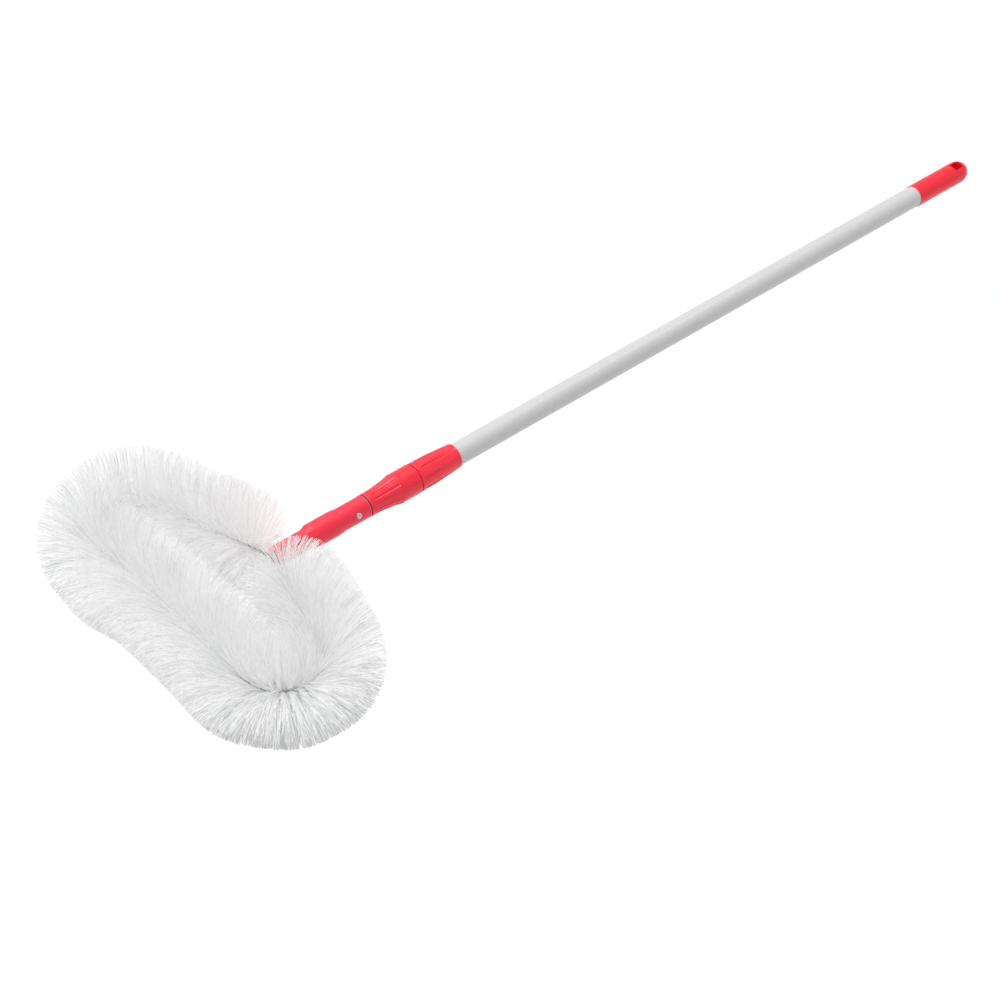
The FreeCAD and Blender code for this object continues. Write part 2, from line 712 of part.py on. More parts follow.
def leg_body(side, reach, inset):
    """Space of the bristles on one leg, side 1 for +y and -1 for -y, bare beside the nozzle."""
    way = in_loop(side * leg_cos, leg_sin)
    body = Part.makeCylinder(reach, leg_length + clear, way * -clear, way)
    foot_y = corner_y + leg_sin * (clear + loop_end_radius)
    foot_d = corner_d - leg_cos * (clear + loop_end_radius)
    outline = [
        (side * corner_y, corner_d),
        (0.0, meeting_d),
        (0.0, foot_d - clear),
        (side * foot_y, foot_d),
    ]
    extra = inset - pile_gap / 2
    bare = Part.makeBox(4 * clear, 4 * clear, 4 * bristle_reach)
    bare.translate(vec(-pile_notch - extra, -4 * clear, -2 * bristle_reach))
    if side < 0:
        bare.translate(vec(0, 4 * clear, 0))
    bare.translate(vec(0, side * (pile_start + extra), 0))
    bare.rotate(vec(0, 0), Z_AXIS, side * math.degrees(leg_angle))
    return body.common(prism(outline, inset)).cut(bare)


def make_pile(space, *which):
    """A closed skin round one stretch of bristles, with the core's bore through it."""
    outside = space(*which, bristle_reach, pile_gap / 2)
    hollow = space(*which, bristle_reach - pile_skin, pile_gap / 2 + pile_skin)
    hollow = hollow.cut(core_bore(pile_bore_r + pile_skin))
    return single(outside.cut(core_bore(pile_bore_r)).cut(hollow))


os.makedirs("parts", exist_ok=True)
save("outer_tube", make_outer_tube())
save("hang_cap", make_hang_cap())
save("lock_sleeve", make_lock_sleeve())
save("lock_collet", make_lock_collet())
save("lock_nut", make_lock_nut())
save("guide_bush", make_guide_bush())
save("inner_tube", make_inner_tube())
save("brush_socket", make_socket())
save("socket_rivet", make_rivet())
save("rivet_mandrel", make_mandrel())
save("core_wire_a", make_strand(0.0))
save("core_wire_b", make_strand(math.pi))
report_gaps()
save("bristles_far", make_pile(far_body))
save("bristles_end_left", make_pile(end_body, 1))
save("bristles_end_right", make_pile(end_body, -1))
save("bristles_leg_left", make_pile(leg_body, 1))
save("bristles_leg_right", make_pile(leg_body, -1))
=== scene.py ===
import logging
import math
from dataclasses import dataclass, field
from enum import Enum
from typing import Any, Optional

import bpy
import numpy as np
from mathutils import Matrix


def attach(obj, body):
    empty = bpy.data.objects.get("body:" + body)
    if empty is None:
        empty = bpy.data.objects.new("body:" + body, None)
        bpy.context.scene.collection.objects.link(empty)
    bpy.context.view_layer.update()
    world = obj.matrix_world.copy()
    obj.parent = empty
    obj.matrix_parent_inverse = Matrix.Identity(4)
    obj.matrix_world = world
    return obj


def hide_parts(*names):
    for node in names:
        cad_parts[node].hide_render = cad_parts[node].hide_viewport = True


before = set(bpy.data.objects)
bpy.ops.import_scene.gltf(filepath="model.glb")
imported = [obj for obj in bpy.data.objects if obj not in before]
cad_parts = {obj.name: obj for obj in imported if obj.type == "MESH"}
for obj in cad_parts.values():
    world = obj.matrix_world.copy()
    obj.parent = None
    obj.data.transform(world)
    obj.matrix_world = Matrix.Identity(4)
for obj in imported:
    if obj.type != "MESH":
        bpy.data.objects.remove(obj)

LOG = logging.getLogger("cobweb_brush")
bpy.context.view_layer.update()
BAKE_MAP = "OFBake"
# Shares of a filament's cell on the map: the strip for its ends, a side's width and height, the
# corners of an end, where the two ends start, and the rim left free.
MAP_ENDS, MAP_SIDE, MAP_RIM = 0.2, (0.3, 0.75), 0.04
MAP_END, MAP_STARTS = ((0.0, 0.0), (0.4, 0.0), (0.2, 0.16)), (0.0, 0.5)
TURN = 2 * math.pi
SIDES = 3
TUFT_HASH = (131, 7919)
TUFT_DRAWS = 4
SEED_STEP = 10
UPRIGHT = 0.9
WHITE = (1.0, 1.0, 1.0, 1.0)
ORIGIN = (0.0, 0.0, 0.0)
GRAIN_SHARES, GRAIN_SPAN = (0.6, 0.4), (0.3, 0.7)
SCUFF_LINES, SCUFF_PATCHES = (0.60, 0.72), (0.45, 0.62)
MIRROR = np.array([-1.0, 1.0])
Socket = bpy.types.NodeSocket
Colour = tuple[float, float, float, float]
Pair = tuple[float, float]
Point = tuple[float, float, float]
Rng = np.random.Generator
Array = np.ndarray
Arrays = dict[str, Array]
Inputs = dict[Any, Any]


def linear(red: float, green: float, blue: float) -> Colour:
    """Turns a colour as seen on a screen into the linear colour that a shader takes.

    Args:
        red, green, blue: the screen colour, 0 to 255.

    Returns:
        Linear red, green, blue and an alpha of one.
    """
    screen = np.array([red, green, blue]) / 255.0
    value = np.where(screen <= 0.04045, screen / 12.92, ((screen + 0.055) / 1.055) ** 2.4)
    return (float(value[0]), float(value[1]), float(value[2]), 1.0)


def unit(vectors: Array) -> Array:
    """Scales each row of an array of vectors to length one."""
    return vectors / np.linalg.norm(vectors, axis=1, keepdims=True)


def put(name: str, data: Any) -> bpy.types.Object:
    """Makes an object and links it into the scene.

    Args:
        name: its name.
        data: its mesh, lamp or camera.

    Returns:
        The object.
    """
    made = bpy.data.objects.new(name, data)
    bpy.context.scene.collection.objects.link(made)
    return made


class Board:
    """A node tree with short calls that add, set and join its nodes."""

    def __init__(self, tree: bpy.types.NodeTree) -> None:
        """Keeps the tree that the calls work on."""
        self.tree = tree

    def add(self, kind: str, inputs: Optional[Inputs] = None, **settings: Any) -> bpy.types.Node:
        """Adds a node.

        Args:
            kind: the node's type name.
            inputs: another node's output or a value, by the socket's name or number.
            settings: the node's own properties.

        Returns:
            The new node.
        """
        node = self.tree.nodes.new(kind)
        for name, value in settings.items():
            setattr(node, name, value)
        for key, value in (inputs or {}).items():
            if isinstance(value, Socket):
                self.tree.links.new(value, node.inputs[key])
            else:
                node.inputs[key].default_value = value
        return node

    def calc(self, operation: str, *terms: Any) -> Socket:
        """Adds a sum of one to three terms and returns its value."""
        return self.add("ShaderNodeMath", dict(enumerate(terms)), operation=operation).outputs[0]

    def remap(
        self, value: Any, low: float, high: float, to_low: float = 0.0, to_high: float = 1.0
    ) -> Socket:
        """Carries the span low to high over to another span, held at its ends.

        Args:
            value: the value to carry over.
            low, high: its own span.
            to_low, to_high: the span that comes out.

        Returns:
            The new value.
        """
        inputs = {0: value, 1: low, 2: high, 3: to_low, 4: to_high}
        return self.add("ShaderNodeMapRange", inputs, clamp=True).outputs[0]

    def mix(self, share: Any, first: Any, second: Any) -> Socket:
        """Mixes two colours and returns the result: share nought is the first, one the second."""
        node = self.add("ShaderNodeMix", {0: share, 6: first, 7: second}, data_type="RGBA")
        return node.outputs[2]

    def noise(self, vector: Any, scale: Any, detail: float = 3.0) -> Socket:
        """Adds soft three-dimensional noise and returns its value."""
        inputs = {"Vector": vector, "Scale": scale, "Detail": detail}
        return self.add("ShaderNodeTexNoise", inputs).outputs[0]

    def place(self) -> Socket:
        """Gives the point on the piece, in its own coordinates."""
        return self.add("ShaderNodeTexCoord").outputs["Object"]

    def stretched(self, vector: Any, scale: Point) -> Socket:
        """Stretches coordinates by a factor along each axis and returns them."""
        return self.add("ShaderNodeMapping", {"Vector": vector, "Scale": scale}).outputs[0]

    def away(self, along: Any, station: float) -> Socket:
        """Gives how far a length along the pole lies from a station."""
        return self.calc("ABSOLUTE", self.calc("SUBTRACT", along, station))

    def effect(self, effect: "Effect", vector: Any, scale: float) -> Any:
        """Adds a shared effect and returns its outputs."""
        inputs = {"Vector": vector, "Scale": scale}
        return self.add("ShaderNodeGroup", inputs, node_tree=effect_group(effect)).outputs

    def surface(self, shader: str, inputs: Inputs, end: str = "Material") -> None:
        """Adds a shader and puts it out as the surface of a material or world."""
        made = self.add(f"ShaderNode{shader}", inputs).outputs[0]
        self.add(f"ShaderNodeOutput{end}", {"Surface": made})


def board_of(owner: Any) -> Board:
    """Empties a node tree.

    Args:
        owner: the material or world that has it.

    Returns:
        The board of the tree.
    """
    owner.use_nodes = True
    owner.node_tree.nodes.clear()
    return Board(owner.node_tree)


class Effect(Enum):
    """Shared surface effects, each one a node group.

    A value is the group's name, the octaves of its fine and its coarse noise, and how much coarser
    the second one is.
    """

    GRAIN = ("fine_grain", (4.0, 2.0), 8.0)
    SCUFF = ("handling_scuffs", (5.0, 2.0), 9.0)


def effect_group(effect: Effect) -> bpy.types.NodeTree:
    """Builds a shared effect once and hands out the same group afterwards.

    The grain is a fine and a coarse noise added. The scuffs are the highest peaks of a fine noise,
    broken up by a coarse one.

    Args:
        effect: which effect.

    Returns:
        The node group, with a Vector and a Scale input.
    """
    title, octaves, coarser = effect.value
    known = bpy.data.node_groups.get(title)
    if known:
        return known
    group = bpy.data.node_groups.new(title, "ShaderNodeTree")
    for name, kind in (("Vector", "NodeSocketVector"), ("Scale", "NodeSocketFloat")):
        group.interface.new_socket(name, in_out="INPUT", socket_type=kind)
    board = Board(group)
    entry = board.add("NodeGroupInput").outputs
    vector, scale = entry["Vector"], entry["Scale"]
    fine = board.noise(vector, scale, octaves[0])
    coarse = board.noise(vector, board.calc("DIVIDE", scale, coarser), octaves[1])
    if effect is Effect.GRAIN:
        parts = [board.calc("MULTIPLY", *part) for part in zip((fine, coarse), GRAIN_SHARES)]
        variation = board.remap(coarse, *GRAIN_SPAN)
        results = {"Height": board.calc("ADD", *parts), "Variation": variation}
    else:
        lines, patches = board.remap(fine, *SCUFF_LINES), board.remap(coarse, *SCUFF_PATCHES)
        results = {"Mask": board.calc("MULTIPLY", lines, patches)}
    for name in results:
        group.interface.new_socket(name, in_out="OUTPUT", socket_type="NodeSocketFloat")
    board.add("NodeGroupOutput", results)
    return group


@dataclass(frozen=True)
class Finish:
    """A rigid piece's surface: a colour with patches, fine grain, scuffs, rims that are worn or a
    painted highlight, and rings of painted shade.
    """

    name: str  # The material's name
    colour: Colour  # Its linear colour
    wear_and_highlight: Colour  # The colour of scuffs and rubbed rims, and of rims painted as a highlight
    roughness: float = 0.35  # The middle of its roughness
    swing: float = 0.08  # How far the roughness goes either side
    wear_rough: float = 0.25  # How much rougher a worn place is
    metallic: float = 0.0  # Nought for paint and plastic, one for bare metal
    coat: float = 0.0  # Weight of a clear gloss layer
    coat_rough: float = 0.12  # Its roughness
    grain: float = 1300.0  # Scale of the fine grain, per metre
    relief: float = 0.00003  # Height of the grain in metres
    patch: float = 0.12  # How far the colour strays towards a darker shade of itself
    dark_share: float = 0.72  # How bright that shade is
    scuff_scale: float = 60.0  # Scale of the scuffs, per metre
    scuff_stretch: Point = (0.3, 4.0, 4.0)  # How the scuffs are drawn out along x, y and z
    scuff_share: float = 0.25  # How much of the worn colour the scuffs show
    rims: tuple[float, ...] = ()  # Stations along the pole, in metres, where a rim is rubbed or painted as a highlight
    rim_width: float = 0.0006  # Half the width of a rubbed rim
    rim_share: float = 0.5  # How much of that pale colour a rim shows
    gap_shade: Colour = linear(120, 34, 44)  # Colour of a ring of painted shade in a gap, tinted red as a painted reflection of red mouldings beside it
    gap_shade_stations: tuple[float, ...] = ()  # Stations along the pole of such rings
    gap_shade_width: float = 0.0016  # Half the width of such a ring

    def ridge(self, board: Board, place: Socket) -> Optional[Socket]:
        """Gives a mask of rubbed ridges, where the piece has any."""
        return None

    def material(self) -> bpy.types.Material:
        """Builds the material from the fields.

        Returns:
            The material, whose colour, roughness and normal all change over the surface.
        """
        known = bpy.data.materials.get(self.name)
        if known:
            return known
        made = bpy.data.materials.new(self.name)
        board = board_of(made)
        place = board.place()
        grain = board.effect(Effect.GRAIN, place, self.grain)
        varied = grain["Variation"]
        drawn_out = board.stretched(place, self.scuff_stretch)
        scuff = board.effect(Effect.SCUFF, drawn_out, self.scuff_scale)["Mask"]
        wear_and_highlight_mask = board.calc("MULTIPLY", scuff, self.scuff_share)
        along = board.add("ShaderNodeSeparateXYZ", {0: place}).outputs[0]
        # Rubbed rims, and painted highlights along an edge.
        for station in self.rims:
            away = board.away(along, station)
            band = board.remap(away, self.rim_width, 0.0, 0.0, self.rim_share)
            wear_and_highlight_mask = board.calc("MAXIMUM", wear_and_highlight_mask, board.calc("MULTIPLY", band, varied))
        ridge = self.ridge(board, place)
        if ridge is not None:
            wear_and_highlight_mask = board.calc("MAXIMUM", wear_and_highlight_mask, ridge)
        dark = tuple(c * self.dark_share for c in self.colour[:3]) + (1.0,)
        patched = board.mix(board.calc("MULTIPLY", varied, self.patch), self.colour, dark)
        colour = board.mix(wear_and_highlight_mask, patched, self.wear_and_highlight)
        # Rings of painted shade, where a gap between parts falls dark.
        for station in self.gap_shade_stations:
            away = board.away(along, station)
            ring = board.remap(away, self.gap_shade_width, self.gap_shade_width / 2)
            colour = board.mix(ring, colour, self.gap_shade)
        span = (self.roughness - self.swing, self.roughness + self.swing)
        rough = board.remap(varied, 0.0, 1.0, *span)
        rough = board.calc("ADD", rough, board.calc("MULTIPLY", wear_and_highlight_mask, self.wear_rough))
        bump = board.add("ShaderNodeBump", {"Height": grain["Height"], "Distance": self.relief})
        board.surface("BsdfPrincipled", {
            "Base Color": colour, "Roughness": rough, "Normal": bump.outputs[0],
            "Metallic": self.metallic, "Coat Weight": self.coat, "Coat Roughness": self.coat_rough,
        })
        return made


@dataclass(frozen=True)
class FlutedFinish(Finish):
    """A moulding's finish with its ridges rubbed paler between the flutes."""

    flutes: int = 14  # How many flutes go round
    axis_height: float = 0.059  # Height of the pole's axis
    span: Pair = (0.0, 1.0)  # The stretch along the pole that has flutes
    ridge_share: float = 0.12  # How much of the worn colour the ridges show
    crest: float = 0.55  # Height of the cosine at which a ridge begins
    fade: float = 0.006  # Length over which the flutes begin and end
    bare_scale: float = 120.0  # Scale of the noise that breaks the ridges up, and its span
    bare_span: Pair = (0.35, 0.65)

    def ridge(self, board: Board, place: Socket) -> Optional[Socket]:
        """Gives the ridges: a cosine of the angle round the pole, where it is high and in the span.

        Args:
            board: the material's nodes.
            place: the point on the piece.

        Returns:
            The mask of the ridges.
        """
        axes = board.add("ShaderNodeSeparateXYZ", {0: place}).outputs
        angle = board.calc("ARCTAN2", axes[1], board.calc("SUBTRACT", axes[2], self.axis_height))
        wave = board.calc("COSINE", board.calc("MULTIPLY", angle, float(self.flutes)))
        crest = board.remap(wave, self.crest, 1.0, 0.0, self.ridge_share)
        start, stop = self.span
        entry = board.remap(axes[0], start, start + self.fade)
        leave = board.remap(axes[0], stop, stop - self.fade)
        patches = board.remap(board.noise(place, self.bare_scale), *self.bare_span)
        rubbed = board.calc("MULTIPLY", crest, patches)
        return board.calc("MULTIPLY", rubbed, board.calc("MULTIPLY", entry, leave))


@dataclass(frozen=True)
class BristleFinish:
    """White nylon filaments, each its own grey, some of it painted shade; dust and painted shade
    darken the root, and the tip is clear.
    """

    name: str = "white_nylon_bristle"  # The material's name
    colour: Colour = linear(253, 253, 253)  # The filaments' linear colour
    shade: Colour = linear(206, 207, 209)  # The colour of the greyest filaments, grey at random or in painted shade
    root: Colour = linear(222, 222, 222)  # The colour near the wire: dust, and painted shade deep in the pile
    root_length: float = 0.25  # Share of the reach that is tinted so, and how much
    root_share: float = 0.8
    roughness: Pair = (0.39, 0.53)  # How rough the nylon is, from and to
    grain: float = 400.0  # Scale of its changes, per metre
    sheen: float = 0.6  # Weight of the soft light at the filaments' edges

    def material(self) -> bpy.types.Material:
        """Builds the material from the filaments' own shade and distance from the root.

        Returns:
            The material.
        """
        known = bpy.data.materials.get(self.name)
        if known:
            return known
        made = bpy.data.materials.new(self.name)
        board = board_of(made)
        tone, along = (
            board.add("ShaderNodeAttribute", attribute_name=name).outputs["Fac"]
            for name in ("tone", "along")
        )
        varied = board.effect(Effect.GRAIN, board.place(), self.grain)["Variation"]
        colour = board.mix(tone, self.colour, self.shade)
        # Dust and painted shade near the wire, deep in the pile.
        root_dust_and_shade = board.remap(along, self.root_length, 0.0, 0.0, self.root_share)
        colour = board.mix(root_dust_and_shade, colour, self.root)
        rough = board.remap(varied, 0.0, 1.0, *self.roughness)
        board.surface("BsdfPrincipled", {
            "Base Color": colour, "Roughness": rough, "Sheen Weight": self.sheen,
        })
        return made


def dress(node: str, finish: Finish) -> None:
    """Puts a finish on a node of the frame.

    Args:
        node: the node's name.
        finish: the finish for all its faces.
    """
    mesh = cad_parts[node].data
    mesh.materials.clear()
    mesh.materials.append(finish.material())
    LOG.info("dressed %s in %s", node, finish.name)


class Stretch(Enum):
    """Stretches of the wire loop that carry a pile of bristles, and the CAD node of each."""

    LEG_RIGHT = "bristles_leg_right"
    END_RIGHT = "bristles_end_right"
    FAR = "bristles_far"
    END_LEFT = "bristles_end_left"
    LEG_LEFT = "bristles_leg_left"

    @property
    def twin(self) -> "Stretch":
        """The stretch on the right that this one mirrors, or itself."""
        return Stretch(self.value.replace("left", "right"))


@dataclass
class CoreLoop:
    """Middle line of the twisted wire, a flat loop seen from above.

    Points are (across, away): along y, and away from the socket's tip along minus x. A straight leg
    runs out from the tip on either side to a round end, and a shallow arc joins the ends.
    """

    tip: float = -0.42545  # Where the socket's tip is along x
    height: float = 0.059  # Height of the loop's plane
    depth: float = 0.1245  # How far away the outermost far side is
    half: float = 0.1217  # Across from the middle to the centre of a round end
    end_radius: float = 0.0424  # Radius of the round ends
    far_bow: float = 0.005  # How far the middle of the far side is drawn in
    pitch: float = 0.013987  # Length of a full turn of the twist
    start: float = 0.014  # Bare length of a leg beside the socket
    lead: float = 0.05075  # Length of the wire before its first bristle, most of it in the socket
    leg_angle: float = field(init=False)
    leg_length: float = field(init=False)
    bow_angle: float = field(init=False)
    far_radius: float = field(init=False)
    far_centre: float = field(init=False)

    def __post_init__(self) -> None:
        """Works out the angles at which the straight and round stretches run into each other."""
        away = self.depth - self.end_radius
        to_centre = math.hypot(self.half, away)
        self.leg_angle = math.atan2(away, self.half) - math.asin(self.end_radius / to_centre)
        self.leg_length = math.sqrt(to_centre**2 - self.end_radius**2)
        self.bow_angle = 2 * math.atan2(self.far_bow, self.half)
        self.far_radius = self.half / math.sin(self.bow_angle) - self.end_radius
        self.far_centre = away + (self.end_radius + self.far_radius) * math.cos(self.bow_angle)

    def curve(self, at: Array) -> Array:
        """Finds how sharply the wire bends.

        Args:
            at: lengths from the first bristle on the right leg.

        Returns:
            One over the radius, above nought where the wire bends round the inside.
        """
        bends = {Stretch.END_RIGHT: 1 / self.end_radius, Stretch.FAR: -1 / self.far_radius}
        starts = [self.begin(s) for s in Stretch]
        bend = np.array([bends.get(s.twin, 0.0) for s in Stretch])
        return bend[np.searchsorted(starts, at, side="right") - 1]

    def length(self, stretch: Stretch) -> float:
        """Finds how much wire carries the bristles of a stretch.

        Args:
            stretch: the stretch.

        Returns:
            The length.
        """
        if stretch.twin is Stretch.LEG_RIGHT:
            return self.leg_length - self.start
        if stretch is Stretch.FAR:
            return 2 * self.bow_angle * self.far_radius
        return self.end_radius * (math.pi - self.leg_angle + self.bow_angle)

    def begin(self, stretch: Stretch) -> float:
        """Length of wire from the first bristle on the right leg to the start of a stretch."""
        order = list(Stretch)
        return sum(self.length(s) for s in order[: order.index(stretch)])

    def run(self, stretch: Stretch, at: Array) -> tuple[Array, Array]:
        """Points of the line and the directions that look out of the loop there.

        A leg is a straight line from the tip, a round end a circle whose angle goes down evenly
        from the leg to the far side, and the far side an arc about a centre outside the loop. The
        left half mirrors the right one.

        Args:
            stretch: the stretch.
            at: lengths along it, in the direction from the right leg to the left one.

        Returns:
            Points and outward directions, each as rows of (across, away).
        """
        cos, sin = math.cos(self.leg_angle), math.sin(self.leg_angle)
        if stretch.twin is not stretch:
            points, out = self.run(stretch.twin, self.length(stretch) - at)
            return points * MIRROR, out * MIRROR
        if stretch is Stretch.LEG_RIGHT:
            points = (self.start + at)[:, None] * np.array([-cos, sin])
            return points, np.broadcast_to([-sin, -cos], points.shape).copy()
        if stretch is Stretch.END_RIGHT:
            # The angle starts where the leg's outward side looks and goes down round the end.
            angle = -(math.pi / 2 + self.leg_angle) - at / self.end_radius
            out = np.stack([np.cos(angle), np.sin(angle)], axis=1)
            centre = np.array([-self.half, self.depth - self.end_radius])
            return centre + self.end_radius * out, out
        turn = at / self.far_radius - self.bow_angle
        out = np.stack([-np.sin(turn), np.cos(turn)], axis=1)
        return np.array([0.0, self.far_centre]) - self.far_radius * out, out

    def whole(self) -> float:
        """Length of all the wire that carries bristles."""
        return sum(self.length(s) for s in Stretch)

    def line(self, at: Array) -> tuple[Array, Array]:
        """Points and outward directions along the whole wire.

        Args:
            at: lengths from the first bristle on the right leg.

        Returns:
            Points and outward directions, each as rows of (across, away).
        """
        points, out = np.empty((len(at), 2)), np.empty((len(at), 2))
        for stretch in Stretch:
            here = at >= self.begin(stretch)
            points[here], out[here] = self.run(stretch, at[here] - self.begin(stretch))
        return points, out

    def distance(self, stretch: Stretch, points: Array) -> Array:
        """How far points are from a stretch's line, seen from above.

        Args:
            stretch: the stretch.
            points: rows of (across, away).

        Returns:
            The distances: to the nearest point of a straight leg; for an arc, the distance to its
            centre less its radius within its angles, and to its nearer end elsewhere.
        """
        if stretch.twin is not stretch:
            return self.distance(stretch.twin, points * MIRROR)
        if stretch is Stretch.LEG_RIGHT:
            way = np.array([-math.cos(self.leg_angle), math.sin(self.leg_angle)])
            along = np.clip(points @ way, 0.0, self.leg_length)
            return np.linalg.norm(points - along[:, None] * way, axis=1)
        ends, _ = self.run(stretch, np.array([0.0, self.length(stretch)]))
        to_end = np.min([np.linalg.norm(points - end, axis=1) for end in ends], axis=0)
        if stretch is Stretch.FAR:
            offset, radius = points - np.array([0.0, self.far_centre]), self.far_radius
            within = np.abs(np.arctan2(offset[:, 0], -offset[:, 1])) <= self.bow_angle
        else:
            radius = self.end_radius
            offset = (points - np.array([-self.half, self.depth - radius])) * MIRROR
            angle = np.arctan2(offset[:, 1], offset[:, 0])
            within = angle >= self.leg_angle - math.pi / 2
            within &= angle <= math.pi / 2 + self.bow_angle
        return np.where(within, np.abs(np.linalg.norm(offset, axis=1) - radius), to_end)

    def place(self, flat: Array, rise: Array) -> Array:
        """Puts (across, away) points and their rise above the loop into the brush's frame."""
        return np.stack([self.tip - flat[:, 1], flat[:, 0], self.height + rise], axis=1)


@dataclass
class SocketOutline:
    """Outside of the brush socket, which filaments stay clear of."""

    # Places along x, from the socket's tip
    stations: tuple[float, ...] = (-0.0005, 0.0, 0.0402, 0.0456, 0.0740, 0.0810, 0.1155)
    # The socket's radius there
    radii: tuple[float, ...] = (0.0, 0.0109, 0.0112, 0.01370, 0.01370, 0.0131, 0.01265)
    clear: float = 0.0006  # Room that filaments leave

    def inside(self, flat: Array, rise: Array) -> Array:
        """Says which points, given (across, away) and rise, are in the socket or too near it."""
        radius = np.interp(-flat[:, 1], self.stations, self.radii, left=0.0, right=0.0)
        return np.hypot(flat[:, 0], rise) < radius + np.where(radius > 0, self.clear, -1.0)


class Share(Enum):
    """Shares of a pile: thin nylon lets light through, so only some filaments shade the others."""

    SHADING = 0.30
    CLEAR = 0.70


@dataclass(frozen=True)
class Grooming:
    """How the filaments stray from an even, round pile."""

    tuft_length: float = 0.0025  # Length of wire that one tuft takes
    tuft_round: int = 40  # Tufts in a turn round the wire
    # How far filaments stray into the next tuft, along and round, in tufts
    tuft_blur: Pair = (0.35, 0.25)
    tuft_kinds: int = 4093  # How many different tufts there are
    gather: float = 0.3  # How strongly a tuft's filaments lean together, nought to one
    # Straying round the wire in radians: of a tuft, a filament, more inside the loop
    tilt_stray: Point = (0.02, 0.01, 0.14)
    # Straying along the wire in the same way
    lean_stray: Point = (0.018, 0.014, 0.08)
    fan: float = 0.9  # Share of the pinch at the wire that is undone at the tips
    wave_length: float = 0.034  # Length of wire over which the pile sways once, over a full turn
    wave_lean: Pair = (0.02, 0.014)  # Leaning of a slow and a faster sway
    wave_ratio: float = 2.3  # How much faster the second sway is
    # Shares of the reach by which a tuft and a filament fall short
    uneven: Pair = (0.003, 0.003)
    # Greatest share by which filaments that look into the loop are worn shorter
    inner_short: float = 0.22
    # Where the pile stands out or in: length along the wire, its spread, angle round the wire in
    # degrees, and share of the reach
    swells: tuple[tuple[float, float, float, float], ...] = (
        (0.455, 0.034, 328.0, 0.12), (0.571, 0.030, 50.0, 0.07), (0.219, 0.020, 324.0, -0.09),
        (0.183, 0.015, 318.0, -0.05),
    )


@dataclass(frozen=True)
class SocketSide:
    """Tufts beside the socket, which are thin, short and close to the twist."""

    run: float = 0.028  # Length over which the pile thickens
    bare: float = 0.95  # Share of the filaments that is missing at the socket
    tuck: float = 0.95  # How strongly roots gather on the twist there
    short: float = 0.45  # Share by which the first filaments are shorter
    # Length over which they reach out fully, on the right leg and on the left one
    short_runs: Pair = (0.013, 0.008)


@dataclass(frozen=True)
class Greying:
    """How grey filaments are, from nought to one: random grey, and painted shade where they hang
    low.
    """

    base: float = 0.03  # Everywhere
    stray: float = 0.15  # Of one filament
    tuft: float = 0.25  # Of a tuft
    inner: float = 0.04  # More so where they look into the loop
    low: float = 0.48  # Painted shade where they hang down under the filaments above
    parted: float = 0.9  # More painted shade where the tufts part round the outside of a bend
